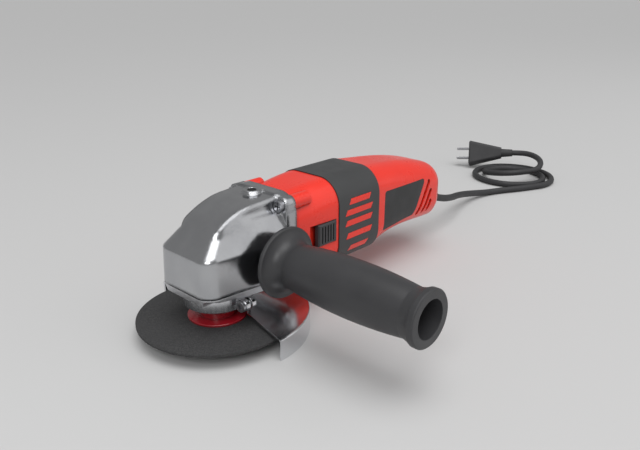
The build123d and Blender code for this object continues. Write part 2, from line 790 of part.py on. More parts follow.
with BuildPart() as gear_case:
    for level, outline in head_levels:
        with BuildSketch(Plane.XY.offset(level)):
            add(outline)
    loft(ruled=True)
    with BuildSketch(Plane.XZ):
        with BuildLine():
            roof_front = (shoulder_front_x, head_shoulder_z)
            roof_level = (roof_level_x, roof_level_z)
            ThreePointArc(roof_front, (roof_bend_x, roof_bend_z), roof_level)
            Polyline(
                roof_level,
                (head_back_x, roof_end_z),
                (head_back_x, roof_clear_z),
                (head_front_x, roof_clear_z),
                (head_front_x, head_shoulder_z),
                roof_front,
            )
        make_face()
    extrude(amount=head_back_half, both=True, mode=Mode.SUBTRACT)
    crease_edges = gear_case.edges().filter_by_position(Axis.Z, head_crease_z - slip, head_crease_z + slip)
    fillet(crease_edges, crease_round)

    # Flange towards the motor, with a lobe round each screw
    with BuildSketch(across(head_back_x)):
        RectangleRounded(joint_flange_width, joint_flange_height, joint_flange_corner)
        with GridLocations(2 * joint_screw_y, 2 * joint_screw_z, 2, 2):
            Circle(joint_screw_head_radius + 1.6)
    extrude(amount=motor_face_x - head_back_x)
    # Handle bosses on both sides, and the boss round the lock button
    with BuildSketch(Plane.XZ.offset(-handle_boss_y)):
        with Locations((handle_x, handle_z)):
            Circle(handle_boss_radius)
    extrude(amount=2 * handle_boss_y)
    with BuildSketch(Plane.XY.offset(head_shoulder_z)):
        with Locations((lock_x, 0)):
            Circle(lock_boss_radius)
    extrude(amount=lock_boss_top_z - head_shoulder_z)
    # Chambers for the gears, and the seats of the needle bush and the front bearing
    spindle_ring(head_base_z, gear_chamber_top_z - head_base_z, gear_chamber_radius, mode=Mode.SUBTRACT)
    bush_room = spindle_top_z + needle_bush_over + needle_bush_room - gear_chamber_top_z
    spindle_ring(gear_chamber_top_z, bush_room, needle_bush_radius, mode=Mode.SUBTRACT)
    motor_ring(0, front_bearing_x, pinion_chamber_radius, mode=Mode.SUBTRACT)
    motor_ring(front_bearing_x, motor_face_x - front_bearing_x, front_bearing_radius, mode=Mode.SUBTRACT)
    # Threaded holes for the handle, open at the boss faces
    for side in (-1, 1):
        with BuildSketch(Plane.XZ.offset(side * handle_boss_y)):
            with Locations((handle_x, handle_z)):
                Circle(handle_stud_radius + slip)
        extrude(amount=-side * handle_hole_depth, mode=Mode.SUBTRACT)
    # Stepped hole for the lock button, its pin and its clip
    with BuildSketch(Plane.XY.offset(lock_button_z - lock_stroke - lock_spring_length)):
        with Locations((lock_x, 0)):
            Circle(lock_button_radius + slip)
    extrude(amount=lock_boss_top_z - lock_button_z + lock_stroke + lock_spring_length, mode=Mode.SUBTRACT)
    with BuildSketch(Plane.XY.offset(axis_z)):
        with Locations((lock_x, 0)):
            Circle(lock_pin_radius + slip)
    extrude(amount=lock_button_z - axis_z, mode=Mode.SUBTRACT)
    with BuildSketch(Plane.XY.offset(axis_z)):
        with Locations((lock_x, 0)):
            Circle(lock_clip_radius + 0.8)
    extrude(amount=lock_clip_z + lock_clip + 0.3 - axis_z, mode=Mode.SUBTRACT)
    # Screw holes through the flange
    with BuildSketch(across(head_back_x)):
        with GridLocations(2 * joint_screw_y, 2 * joint_screw_z, 2, 2):
            Circle(joint_screw_radius + seat_gap)
    extrude(amount=motor_face_x - head_back_x, mode=Mode.SUBTRACT)
    with BuildSketch(across(head_front_x)):
        with GridLocations(2 * joint_screw_y, 2 * joint_screw_z, 2, 2):
            Circle(joint_screw_head_radius + 0.4)
    extrude(amount=head_back_x - head_front_x, mode=Mode.SUBTRACT)
keep(gear_case, "gear_case")

# Screws that hold the gear case to the motor housing
joint_screw_length = 22.0
with BuildPart() as gear_case_screws:
    with BuildSketch(across(head_back_x - joint_screw_head)):
        with GridLocations(2 * joint_screw_y, 2 * joint_screw_z, 2, 2):
            Circle(joint_screw_head_radius)
    extrude(amount=joint_screw_head)
    with BuildSketch(across(head_back_x)):
        with GridLocations(2 * joint_screw_y, 2 * joint_screw_z, 2, 2):
            Circle(joint_screw_radius)
    extrude(amount=joint_screw_length)
    with BuildSketch(across(head_back_x - joint_screw_head)):
        with GridLocations(2 * joint_screw_y, 2 * joint_screw_z, 2, 2):
            Rectangle(joint_screw_radius * 2.6, joint_screw_radius * 0.5)
            Rectangle(joint_screw_radius * 0.5, joint_screw_radius * 2.6)
    extrude(amount=joint_screw_head / 2, mode=Mode.SUBTRACT)
keep(gear_case_screws, "gear_case_screws")

# Spindle lock: a black button and pin with its retaining clip, pushed back by a spring
with BuildPart() as spindle_lock_button:
    with BuildSketch(Plane.XY.offset(lock_button_z)):
        with Locations((lock_x, 0)):
            Circle(lock_button_radius)
    extrude(amount=lock_button_height)
    with BuildSketch(Plane.XY.offset(lock_pin_bottom_z)):
        with Locations((lock_x, 0)):
            Circle(lock_pin_radius)
    extrude(amount=lock_button_z - lock_pin_bottom_z)
    with BuildSketch(Plane.XY.offset(lock_clip_z)):
        with Locations((lock_x, 0)):
            Circle(lock_clip_radius)
    extrude(amount=lock_clip)
    top_rim = spindle_lock_button.edges().filter_by(GeomType.CIRCLE).sort_by(Axis.Z)[-1]
    fillet(top_rim, 0.6)
keep(spindle_lock_button, "spindle_lock_button")

spring_wall = 0.6
with BuildPart() as lock_spring:
    with BuildSketch(Plane.XY.offset(lock_button_z - lock_stroke - lock_spring_length)):
        with Locations((lock_x, 0)):
            Circle(lock_pin_radius + 0.2 + spring_wall)
            Circle(lock_pin_radius + 0.2, mode=Mode.SUBTRACT)
    extrude(amount=lock_stroke + lock_spring_length)
keep(lock_spring, "lock_spring")

# Bearing cover: a chamfered plate under the gear case, with the round neck that carries the guard
with BuildPart() as bearing_cover:
    with BuildSketch(Plane.XY.offset(head_base_z)):
        add(base_outline)
    with BuildSketch(Plane.XY.offset(cover_plate_z)):
        offset(base_outline, amount=-cover_draft)
    loft(ruled=True)
    spindle_ring(lower_bearing_z, cover_plate_z - lower_bearing_z, neck_radius)
    with Locations((0, 0, (neck_bottom_z + lower_bearing_z) / 2)):
        Cone(neck_tip_radius, neck_radius, lower_bearing_z - neck_bottom_z)
    spindle_ring(lower_bearing_z, head_base_z - lower_bearing_z, lower_bearing_radius, mode=Mode.SUBTRACT)
    neck_hole_radius = spindle_shoulder_radius + neck_clearance
    spindle_ring(neck_bottom_z, lower_bearing_z - neck_bottom_z, neck_hole_radius, mode=Mode.SUBTRACT)
    with BuildSketch(Plane.XY.offset(cover_plate_z)):
        with Locations(*cover_screw_places):
            Circle(cover_screw_radius + seat_gap)
    extrude(amount=head_base_z - cover_plate_z, mode=Mode.SUBTRACT)
    with BuildSketch(Plane.XY.offset(cover_plate_z)):
        with Locations(*cover_screw_places):
            Circle(cover_screw_head_radius + 0.3)
    extrude(amount=cover_screw_sink, mode=Mode.SUBTRACT)
    with BuildSketch(across(head_front_x)):
        with GridLocations(2 * joint_screw_y, 2 * joint_screw_z, 2, 2):
            Circle(joint_screw_head_radius + 0.4)
    extrude(amount=head_back_x - head_front_x, mode=Mode.SUBTRACT)
keep(bearing_cover, "bearing_cover")

# Screws of the bearing cover
with BuildPart() as bearing_cover_screws:
    with BuildSketch(Plane.XY.offset(cover_plate_z + cover_screw_sink - cover_screw_head)):
        with Locations(*cover_screw_places):
            Circle(cover_screw_head_radius)
    extrude(amount=cover_screw_head)
    with BuildSketch(Plane.XY.offset(cover_plate_z + cover_screw_sink)):
        with Locations(*cover_screw_places):
            Circle(cover_screw_radius)
    extrude(amount=head_base_z - cover_plate_z - cover_screw_sink)
keep(bearing_cover_screws, "bearing_cover_screws")

# Ring that keeps the spindle bearing in the cover
with BuildPart() as bearing_retainer:
    spindle_ring(lower_bearing_top_z, retainer_plate, lower_bearing_radius, outer_race_radius)
keep(bearing_retainer, "bearing_retainer")

# Guard: a pressed half cover with a skirt, on a split clamp band round the neck
band_inner = neck_radius + guard_turn_gap
band_outer = band_inner + guard_band
guard_plate_z = guard_plate_top_z - guard_sheet
ear_direction = Vector(math.cos(math.radians(guard_ear_angle)), math.sin(math.radians(guard_ear_angle)), 0)
ear_across = Vector(-ear_direction.Y, ear_direction.X, 0)
ear_z = guard_band_top_z - guard_ear_radius
ear_plane = Plane(origin=(0, 0, ear_z), x_dir=ear_direction, z_dir=ear_across)
open_reach = guard_radius + 14
open_x = guard_edge_x - open_reach * math.tan(math.radians(guard_edge_angle))
with BuildSketch() as guard_opening:
    Polygon(
        (-open_reach, -open_reach),
        (open_x, -open_reach),
        (guard_edge_x, 0),
        (open_x, open_reach),
        (-open_reach, open_reach),
        align=None,
    )
with BuildPart() as guard:
    spindle_ring(guard_plate_z, guard_sheet, guard_radius, band_inner)
    skirt_height = guard_plate_top_z - guard_skirt_bottom_z
    spindle_ring(guard_skirt_bottom_z, skirt_height, guard_radius, guard_radius - guard_sheet)
    top_rim = guard.edges().filter_by(GeomType.CIRCLE).group_by(SortBy.RADIUS)[-1].sort_by(Axis.Z)[-1]
    fillet(top_rim, guard_sheet * 0.9)
    spindle_ring(guard_plate_z, guard_band_bottom_z - guard_plate_z, band_outer, band_inner)
    with BuildSketch(Plane.XY.offset(guard_skirt_bottom_z)):
        add(guard_opening.sketch)
    extrude(amount=guard_band_bottom_z - guard_skirt_bottom_z, mode=Mode.SUBTRACT)
    spindle_ring(guard_band_bottom_z, guard_band_top_z - guard_band_bottom_z, band_outer, band_inner)
    with BuildSketch(ear_plane.offset(-guard_ear_thickness / 2)):
        with Locations((band_outer + guard_ear_reach / 2 - 0.5, 0)):
            Rectangle(guard_ear_reach + 1, 2 * guard_ear_radius)
        with Locations((band_outer + guard_ear_reach, 0)):
            Circle(guard_ear_radius)
    extrude(amount=guard_ear_thickness)
    with BuildSketch(ear_plane.offset(-guard_ear_thickness / 2)):
        with Locations((band_outer + guard_ear_reach, 0)):
            Circle(guard_screw_radius + seat_gap)
    extrude(amount=guard_ear_thickness, mode=Mode.SUBTRACT)
    with BuildSketch(ear_plane.offset(-guard_split / 2)):
        with Locations((band_outer + guard_ear_reach / 2, 0)):
            Rectangle(guard_ear_reach + 2 * guard_ear_radius + 3 * guard_band, 4 * guard_ear_radius)
    extrude(amount=guard_split, mode=Mode.SUBTRACT)
keep(guard, "guard")

# Screw across the ears of the clamp band
with BuildPart() as guard_screw:
    with BuildSketch(ear_plane.offset(-guard_ear_thickness / 2)):
        with Locations((band_outer + guard_ear_reach, 0)):
            Circle(guard_screw_radius)
    extrude(amount=guard_ear_thickness + 1.0)
    with BuildSketch(ear_plane.offset(-guard_ear_thickness / 2 - 2.6)):
        with Locations((band_outer + guard_ear_reach, 0)):
            Circle(guard_screw_radius * 1.7)
            RegularPolygon(guard_screw_radius * 0.9, 6, mode=Mode.SUBTRACT)
    extrude(amount=2.6)
keep(guard_screw, "guard_screw")

# Side handle: a barrel grip with a wide hand stop, a flared end and a hollow core, on a steel stud
handle_axis = Axis((handle_x, 0, handle_z), (0, 1, 0))
handle_plane = Plane(origin=(handle_x, -handle_boss_y, handle_z), x_dir=(0, 0, 1), z_dir=(-1, 0, 0))
with BuildPart() as side_handle:
    with BuildSketch(handle_plane):
        with BuildLine():
            stop_face = (handle_flange_radius - handle_edge, 0)
            stop_back = (handle_flange_radius - handle_edge, -handle_flange)
            grip_start = (handle_neck_radius, -handle_flange - handle_stop_blend)
            grip_middle = (handle_belly_radius, -handle_length / 2)
            grip_end = (handle_end_neck_radius, handle_end_blend - handle_length)
            rim_start = (handle_end_radius, handle_rim - handle_length)
            bore_top = handle_bore_depth - handle_length
            core_radius = handle_stud_radius + slip
            Polyline(
                (core_radius, 0),
                stop_face,
                (handle_flange_radius, -handle_edge),
                (handle_flange_radius, handle_edge - handle_flange),
                stop_back,
            )
            ThreePointArc(
                stop_back,
                (handle_neck_radius + handle_stop_blend / 4, -handle_flange - handle_stop_blend / 3),
                grip_start,
            )
            ThreePointArc(grip_start, grip_middle, grip_end)
            ThreePointArc(
                grip_end,
                (handle_end_neck_radius + handle_edge, (handle_end_blend + handle_rim) / 2 - handle_length),
                rim_start,
            )
            Polyline(
                rim_start,
                (handle_end_radius, handle_edge - handle_length),
                (handle_end_radius - handle_edge, -handle_length),
                (handle_bore_radius, -handle_length),
                (handle_bore_radius, bore_top),
                (core_radius, bore_top),
                (core_radius, 0),
            )
        make_face()
    revolve(axis=handle_axis)
    with BuildSketch(Plane.XZ.offset(handle_boss_y + stud_reach)):
        with Locations((handle_x, handle_z)):
            Circle(handle_stud_radius + 1)
    extrude(amount=handle_length - handle_bore_depth - stud_reach)
keep(side_handle, "side_handle")

with BuildPart() as handle_stud:
    with BuildSketch(Plane.XZ.offset(handle_boss_y - handle_hole_depth + 1)):
        with Locations((handle_x, handle_z)):
            Circle(handle_stud_radius)
    extrude(amount=handle_hole_depth - 1 + stud_reach)
keep(handle_stud, "handle_stud")

# Motor housing: one lofted red shell from the neck to the rear joint
def housing_section(width, height, corner):
    with BuildSketch() as section:
        RectangleRounded(width, height, corner)
    return section.sketch


def band_section(proud):
    """The housing's section at the band, grown or shrunk all round."""
    return housing_section(housing_width + 2 * proud, housing_height + 2 * proud, housing_corner + proud)


groove = band_thickness - band_proud
rear_wall_x = rear_bearing_x - 3.0
bar_rows = [(0, 76.0, 26.5), (-1, 67.5, 33.0), (-1, 59.0, 33.0), (-0.5, 48.5, 31.5), (-0.5, 37.5, 24.0)]
bar_middle_x = band_x + band_length / 2 + 0.5
with BuildPart() as vent_bars:
    for side in (-1, 1):
        with BuildSketch(Plane.XZ.offset(-side * housing_bore_radius)):
            for shift, bar_z, bar_length in bar_rows:
                with Locations((bar_middle_x + shift, bar_z)):
                    Polygon(
                        (-bar_length / 2, -rib_height / 2),
                        (bar_length / 2 - rib_skew, -rib_height / 2),
                        (bar_length / 2, rib_height / 2),
                        (-bar_length / 2 + rib_skew, rib_height / 2),
                        align=None,
                    )
        extrude(amount=-side * housing_width)
with BuildPart() as band_form:
    with BuildSketch(across(band_x)):
        add(band_section(band_proud))
    extrude(amount=band_length)
with BuildPart() as vent_ribs:
    add(vent_bars.part)
    add(band_form.part, mode=Mode.INTERSECT)

with BuildPart() as motor_housing:
    with BuildSketch(across(motor_face_x)):
        add(housing_section(housing_neck_width, housing_neck_height, housing_corner))
    with BuildSketch(across(housing_middle_x)):
        add(housing_section(housing_middle_width, housing_middle_height, housing_corner))
    with BuildSketch(across(band_x)):
        add(housing_section(housing_width, housing_height, housing_corner))
    loft()
    with BuildSketch(across(band_x)):
        add(band_section(-groove))
    extrude(amount=band_length)
    add(vent_ribs.part)
    with BuildSketch(across(motor_face_x)):
        with GridLocations(2 * joint_screw_y, 2 * joint_screw_z, 2, 2):
            Circle(joint_screw_head_radius + 1.2)
    extrude(amount=joint_screw_length - motor_face_x + head_back_x + 3)
    motor_ring(motor_face_x, rear_wall_x - motor_face_x, housing_bore_radius, mode=Mode.SUBTRACT)
    motor_ring(rear_wall_x, rear_x - rear_wall_x, rear_seat_radius, mode=Mode.SUBTRACT)
    with BuildSketch(across(motor_face_x)):
        with GridLocations(2 * joint_screw_y, 2 * joint_screw_z, 2, 2):
            Circle(joint_screw_radius)
    extrude(amount=joint_screw_length - motor_face_x + head_back_x, mode=Mode.SUBTRACT)
    # Recess of the slide switch, open to the side, and the channel of its rod
    with BuildSketch(Plane.XZ.offset(-switch_pocket_y)):
        with Locations((switch_x - switch_travel - switch_gap, switch_z)):
            pocket_length = switch_length + switch_travel + 2 * switch_gap
            Rectangle(pocket_length, switch_height + 2 * switch_gap, align=(Align.MIN, Align.CENTER))
    extrude(amount=housing_width / 2, mode=Mode.SUBTRACT)
    with BuildSketch(Plane.XZ.offset(-switch_pocket_y)):
        with Locations((switch_x, switch_z)):
            Rectangle(rear_x - switch_x, rod_width + 2 * switch_gap, align=(Align.MIN, Align.CENTER))
    extrude(amount=rod_thickness + 2 * switch_gap, mode=Mode.SUBTRACT)
keep(motor_housing, "motor_housing")

# Black vent band round the middle of the housing
with BuildPart() as vent_band:
    add(band_form.part)
    with BuildSketch(across(band_x)):
        add(band_section(-groove))
    extrude(amount=band_length, mode=Mode.SUBTRACT)
    add(offset(vent_bars.part, amount=rib_gap, mode=Mode.PRIVATE), mode=Mode.SUBTRACT)
keep(vent_band, "vent_band")

# Rear housing: two clamshell halves of one lofted form, slimmer towards the tail
rear_sections = [
    (rear_x, housing_width, housing_height, 0.0, housing_corner),
    (waist_x, waist_width, waist_height, waist_rise, housing_corner),
    (rear_middle_x, rear_middle_width, rear_middle_height, rear_middle_rise, housing_corner),
    (tail_start_x, tail_width, tail_height, tail_rise, housing_corner),
]
with BuildPart() as rear_form:
    for x, width, height, rise, corner in rear_sections:
        with BuildSketch(across(x)):
            with Locations((0, rise)):
                RectangleRounded(width, height, corner)
    loft()
    with BuildSketch(across(tail_start_x)):
        with Locations((0, tail_rise)):
            RectangleRounded(tail_width, tail_height, housing_corner)
    with BuildSketch(across(tail_x)):
        with Locations((0, tail_rise)):
            end_width = tail_width - 2 * tail_inset
            RectangleRounded(end_width, tail_height - 2 * tail_inset, housing_corner - tail_inset)
    loft(ruled=True)
    tail_edges = rear_form.faces().sort_by(Axis.X)[-1].edges()
    fillet(tail_edges, tail_round)

with BuildSketch(Plane.XZ) as panel_outline:
    Polygon(*[(rear_x + back, level) for back, level in panel_corners], align=None)
    fillet(panel_outline.vertices(), 2.0)
panel_floor = rear_middle_width / 2 - panel_depth
with BuildPart() as panel_prism:
    with BuildSketch(Plane.XZ.offset(panel_floor)):
        add(panel_outline.sketch_local)
    extrude(amount=housing_width / 2)
with BuildPart() as panel_recess:
    with BuildSketch(Plane.XZ.offset(panel_floor)):
        offset(panel_outline.sketch_local, amount=panel_gap)
    extrude(amount=housing_width / 2)
with BuildPart() as tail_slots:
    for low, high in tail_slot_ends:
        with BuildSketch(Plane.XZ.offset(slot_floor_y)):
            middle = (rear_x + (low[0] + high[0]) / 2, (low[1] + high[1]) / 2)
            tilt = math.degrees(math.atan2(high[1] - low[1], high[0] - low[0]))
            with Locations(Location((*middle, 0), tilt)):
                SlotOverall(math.dist(low, high) + slot_width, slot_width)
        extrude(amount=housing_width / 2)

rear_screw_places = [(rear_x + back, level) for back, level in rear_screw_spots]
with BuildPart() as side_cuts:
    add(panel_recess.part)
    add(tail_slots.part)
    mirror(about=Plane.XZ)
with BuildPart() as rear_whole:
    add(rear_form.part)
    motor_ring(rear_x, shaft_tail_x + 2 - rear_x, rear_seat_radius + slip, mode=Mode.SUBTRACT)
    for centre, size in ((switch_body_place, switch_body_size), (capacitor_place, capacitor_size)):
        with Locations(centre):
            Box(size[0] + 2 * seat_gap, size[1] + 2 * seat_gap, size[2] + 2 * seat_gap, mode=Mode.SUBTRACT)
    with BuildSketch(boot_plane.offset(-boot_flange - boot_room)):
        Circle(boot_root_radius + slip)
    extrude(amount=boot_flange + boot_room + boot_length, mode=Mode.SUBTRACT)
    with BuildSketch(boot_plane.offset(-boot_flange - boot_room)):
        Circle(clamp_radius + slip)
    extrude(amount=boot_room, mode=Mode.SUBTRACT)
    with BuildSketch(Plane.XZ.offset(-switch_pocket_y)):
        with Locations((rear_x, switch_z)):
            rod_channel = rod_width + 2 * switch_gap
            Rectangle(rod_reach + rod_clearance, rod_channel, align=(Align.MIN, Align.CENTER))
    extrude(amount=rod_thickness + 2 * switch_gap, mode=Mode.SUBTRACT)
    add(side_cuts.part, mode=Mode.SUBTRACT)
    # Screw holes across the halves, sunk from the right side
    with BuildSketch(Plane.XZ.offset(rear_screw_length / 2)):
        with Locations(*rear_screw_places):
            Circle(cover_screw_radius + slip)
    extrude(amount=-rear_screw_length, mode=Mode.SUBTRACT)
    with BuildSketch(Plane.XZ.offset(-rear_screw_length / 2)):
        with Locations(*rear_screw_places):
            Circle(cover_screw_head_radius + switch_gap)
    extrude(amount=-housing_width / 2, mode=Mode.SUBTRACT)
with BuildPart() as rear_cover_left:
    add(rear_whole.part)
    split(bisect_by=Plane.XZ, keep=Keep.TOP)
keep(rear_cover_left, "rear_cover_left")
with BuildPart() as rear_cover_right:
    add(rear_whole.part)
    split(bisect_by=Plane.XZ, keep=Keep.BOTTOM)
keep(rear_cover_right, "rear_cover_right")

# Screws that hold the two halves together
with BuildPart() as rear_cover_screws:
    with BuildSketch(Plane.XZ.offset(rear_screw_length / 2 - rear_screw_short)):
        with Locations(*rear_screw_places):
            Circle(cover_screw_radius)
    extrude(amount=rear_screw_short - rear_screw_length)
    with BuildSketch(Plane.XZ.offset(-rear_screw_length / 2)):
        with Locations(*rear_screw_places):
            Circle(cover_screw_head_radius)
    extrude(amount=-cover_screw_head)
    with BuildSketch(Plane.XZ.offset(-rear_screw_length / 2 - cover_screw_head / 2)):
        with Locations(*rear_screw_places):
            Rectangle(cover_screw_radius * 2.4, cover_screw_radius / 2)
            Rectangle(cover_screw_radius / 2, cover_screw_radius * 2.4)
    extrude(amount=-cover_screw_head, mode=Mode.SUBTRACT)
keep(rear_cover_screws, "rear_cover_screws")

# Black side panels, flush with the rear housing
with BuildPart() as side_panel_left:
    add(panel_prism.part)
    add(rear_form.part, mode=Mode.INTERSECT)
keep(side_panel_left, "side_panel_left")
with BuildPart() as side_panel_right:
    add(mirror(panel_prism.part, about=Plane.XZ, mode=Mode.PRIVATE))
    add(rear_form.part, mode=Mode.INTERSECT)
keep(side_panel_right, "side_panel_right")

# Slide switch: a ribbed thumb block in the recess, with a rod to the switch in the tail
with BuildPart() as slide_switch:
    with BuildSketch(Plane.XZ.offset(-switch_pocket_y + rod_thickness + 2 * switch_gap)):
        with Locations((switch_x, switch_z)):
            Rectangle(switch_length, switch_height, align=(Align.MIN, Align.CENTER))
    extrude(amount=switch_pocket_y - switch_face_y - rod_thickness - 2 * switch_gap)
    outer_edges = slide_switch.faces().sort_by(Axis.Y)[0].edges()
    chamfer(outer_edges, 1.0)
    with BuildSketch(Plane.XZ.offset(-switch_face_y - 0.8)):
        with Locations((switch_x + switch_length / 2, switch_z)):
            with GridLocations(3.0, 1, 5, 1):
                Rectangle(1.2, switch_height - 4)
    extrude(amount=2.0, mode=Mode.SUBTRACT)
    with BuildSketch(Plane.XZ.offset(-switch_pocket_y + switch_gap)):
        with Locations((switch_x + rod_start, switch_z)):
            Rectangle(rod_end_x - switch_x - rod_start, rod_width, align=(Align.MIN, Align.CENTER))
    extrude(amount=rod_thickness)
    with BuildSketch(Plane.XZ.offset(-switch_pocket_y + switch_gap)):
        with Locations((switch_x + switch_length / 2, switch_z)):
            Rectangle(switch_length / 2, rod_width)
    extrude(amount=rod_thickness + switch_gap)
keep(slide_switch, "slide_switch")

# Switch body and capacitor in the tail
with BuildPart() as switch_body:
    with Locations(switch_body_place):
        Box(*switch_body_size)
    fillet(switch_body.edges().filter_by(Axis.Z), 2.0)
keep(switch_body, "switch_body")
with BuildPart() as capacitor:
    with Locations(capacitor_place):
        Box(*capacitor_size)
    fillet(capacitor.edges().filter_by(Axis.Z), 2.0)
keep(capacitor, "capacitor")

# Strain relief: a tapered rubber boot that slopes down out of the tail
with BuildPart() as cord_boot:
    with BuildSketch(boot_plane):
        Circle(boot_root_radius)
    with BuildSketch(boot_plane.offset(boot_length)):
        Circle(boot_tip_radius)
    loft()
    with BuildSketch(boot_plane.offset(-boot_flange)):
        Circle(boot_root_radius)
    extrude(amount=boot_flange)
keep(cord_boot, "cord_boot")

# Clamp ring that keeps the boot and the lead in the tail
with BuildPart() as cord_clamp:
    with BuildSketch(boot_plane.offset(-boot_flange - clamp_length)):
        Circle(clamp_radius)
        Circle(cord_radius, mode=Mode.SUBTRACT)
    extrude(amount=clamp_length)
keep(cord_clamp, "cord_clamp")


def tube_path(points):
    """Straight runs with tangent arcs, each as large as its two runs allow; returns the path and radii."""
    corners = [Vector(*point) for point in points]
    radii = []
    for before, corner, after in zip(corners, corners[1:], corners[2:]):
        first, second = corner - before, after - corner
        turn = math.radians(first.get_angle(second))
        radii.append(arc_share * min(first.length, second.length) / math.tan(turn / 2))
    return FilletPolyline(*corners, radius=radii, mode=Mode.PRIVATE), radii


def report_tube(name, part, path, radii):
    """Print the length, the radii and the volume against section times length."""
    ideal = math.pi * cord_radius**2 * path.length
    rounded = ", ".join(f"{r:.0f}" for r in radii)
    print(f"{name}: length {path.length:.1f}, volume ratio {part.volume / ideal:.4f}, radii {rounded}")


def cord_tube(name, points):
    path, radii = tube_path(points)
    with BuildPart() as tube:
        with BuildSketch(Plane(origin=path @ 0, z_dir=path % 0)) as section:
            Circle(cord_radius)
        sweep(section.sketch, path=path)
    report_tube(name, tube.part, path, radii)
    return tube


power_cord_lead = cord_tube("lead", [boot_tip] + lead_points + [coil_entry])
keep(power_cord_lead, "power_cord_lead")

power_cord_end = cord_tube("end", [coil_exit] + end_points + [plug_neck])
keep(power_cord_end, "power_cord_end")

# Coil: two loose turns that spiral in on half circles, the last one climbing to cross the others
with BuildPart() as power_cord_coil:
    with BuildLine() as coil_line:
        entry_run = Line(coil_entry, coil_start)
        last = entry_run
        for index in range(len(coil_radii)):
            last = ThreePointArc(last @ 1, coil_middles[index], coil_points[index + 1])
        Line(last @ 1, coil_exit)
    with BuildSketch(Plane(origin=coil_entry, z_dir=coil_start - coil_entry)):
        Circle(cord_radius)
    sweep()
keep(power_cord_coil, "power_cord_coil")
coil_length = coil_line.wires()[0].length
coil_ratio = power_cord_coil.part.volume / (math.pi * cord_radius**2 * coil_length)
print(f"coil: length {coil_length:.1f}, volume ratio {coil_ratio:.4f}")
samples = [coil_line.wires()[0] @ (i / 240) for i in range(241)]
step = coil_length / 240
apart = int(3 * cord_radius * 2 / step) + 1
least = min((samples[i] - samples[j]).length for i in range(241) for j in range(i + apart, 241))
print(f"coil: least gap to itself {least - 2 * cord_radius:.2f}")

# Plug: a flat wedge body with two flat blades, that leans on its broad edge
with BuildPart() as plug_body:
    with BuildSketch(plug_plane):
        Circle((cord_radius + plug_neck_radius) / 2)
    with BuildSketch(plug_plane.offset(plug_neck_length)):
        Circle(plug_neck_radius)
    loft()
    with BuildSketch(plug_plane.offset(plug_neck_length)):
        RectangleRounded(plug_root_width, plug_root_thickness, plug_corner)
    with BuildSketch(plug_plane.offset(plug_neck_length + plug_length)):
        RectangleRounded(plug_width, plug_thickness, plug_corner)
    loft()
    fillet(plug_body.faces().sort_by(Axis(plug_neck, plug_direction))[-1].edges(), plug_corner / 2)
    with BuildSketch(plug_plane.offset(plug_neck_length + plug_length - blade_root)):
        with GridLocations(blade_pitch, 1, 2, 1):
            Rectangle(blade_thickness + 2 * slip, blade_width + 2 * slip)
    extrude(amount=blade_root, mode=Mode.SUBTRACT)
keep(plug_body, "plug_body")
with BuildPart() as plug_blades:
    with BuildSketch(plug_plane.offset(plug_neck_length + plug_length - blade_root)):
        with GridLocations(blade_pitch, 1, 2, 1):
            Rectangle(blade_thickness, blade_width)
    extrude(amount=blade_root + blade_length)
keep(plug_blades, "plug_blades")
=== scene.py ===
import json
import math

import bmesh
import bpy
from mathutils import Matrix, Vector


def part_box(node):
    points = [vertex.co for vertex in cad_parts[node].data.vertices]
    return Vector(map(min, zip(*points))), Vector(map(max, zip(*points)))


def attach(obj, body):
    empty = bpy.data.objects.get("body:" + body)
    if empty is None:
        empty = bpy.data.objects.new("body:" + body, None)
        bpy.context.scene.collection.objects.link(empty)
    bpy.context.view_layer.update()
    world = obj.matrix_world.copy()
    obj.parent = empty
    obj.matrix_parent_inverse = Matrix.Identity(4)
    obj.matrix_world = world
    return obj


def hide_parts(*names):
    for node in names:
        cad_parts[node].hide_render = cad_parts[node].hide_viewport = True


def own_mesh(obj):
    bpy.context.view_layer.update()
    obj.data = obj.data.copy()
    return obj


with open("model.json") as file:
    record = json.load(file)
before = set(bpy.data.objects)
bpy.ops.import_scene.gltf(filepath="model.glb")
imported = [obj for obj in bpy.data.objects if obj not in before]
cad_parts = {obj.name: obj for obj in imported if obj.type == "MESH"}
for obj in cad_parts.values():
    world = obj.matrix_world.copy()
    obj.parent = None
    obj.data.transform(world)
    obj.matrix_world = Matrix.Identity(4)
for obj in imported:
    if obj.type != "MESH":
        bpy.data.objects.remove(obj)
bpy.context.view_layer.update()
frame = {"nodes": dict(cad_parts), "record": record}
MM = 0.001
nodes = frame["nodes"]

# Camera: the photograph's viewing angle, a 36 mm sensor behind a lens of about 37 mm
CAMERA_AZIMUTH = math.radians(-46.8)
CAMERA_ELEVATION = math.radians(20.45)
CAMERA_DISTANCE = 0.467
CAMERA_RIGHT = 0.07315
CAMERA_UP = 0.06375
CAMERA_LENS = 36.56
DISC_MIDDLE_Z = 0.0095


def make_camera():
    right = Vector((math.cos(CAMERA_AZIMUTH), math.sin(CAMERA_AZIMUTH), 0))
    level = math.cos(CAMERA_ELEVATION)
    back = Vector((right.y * level, -right.x * level, math.sin(CAMERA_ELEVATION)))
    up = back.cross(right)
    camera = bpy.data.objects.new("camera", bpy.data.cameras.new("camera"))
    bpy.context.collection.objects.link(camera)
    place = right * CAMERA_RIGHT + up * CAMERA_UP + back * CAMERA_DISTANCE
    turn = Matrix((right, up, back)).transposed().to_4x4()
    camera.matrix_world = Matrix.Translation(place + Vector((0, 0, DISC_MIDDLE_Z))) @ turn
    camera.data.sensor_width = 36
    camera.data.lens = CAMERA_LENS
    camera.data.clip_start = 0.01
    bpy.context.scene.camera = camera


make_camera()

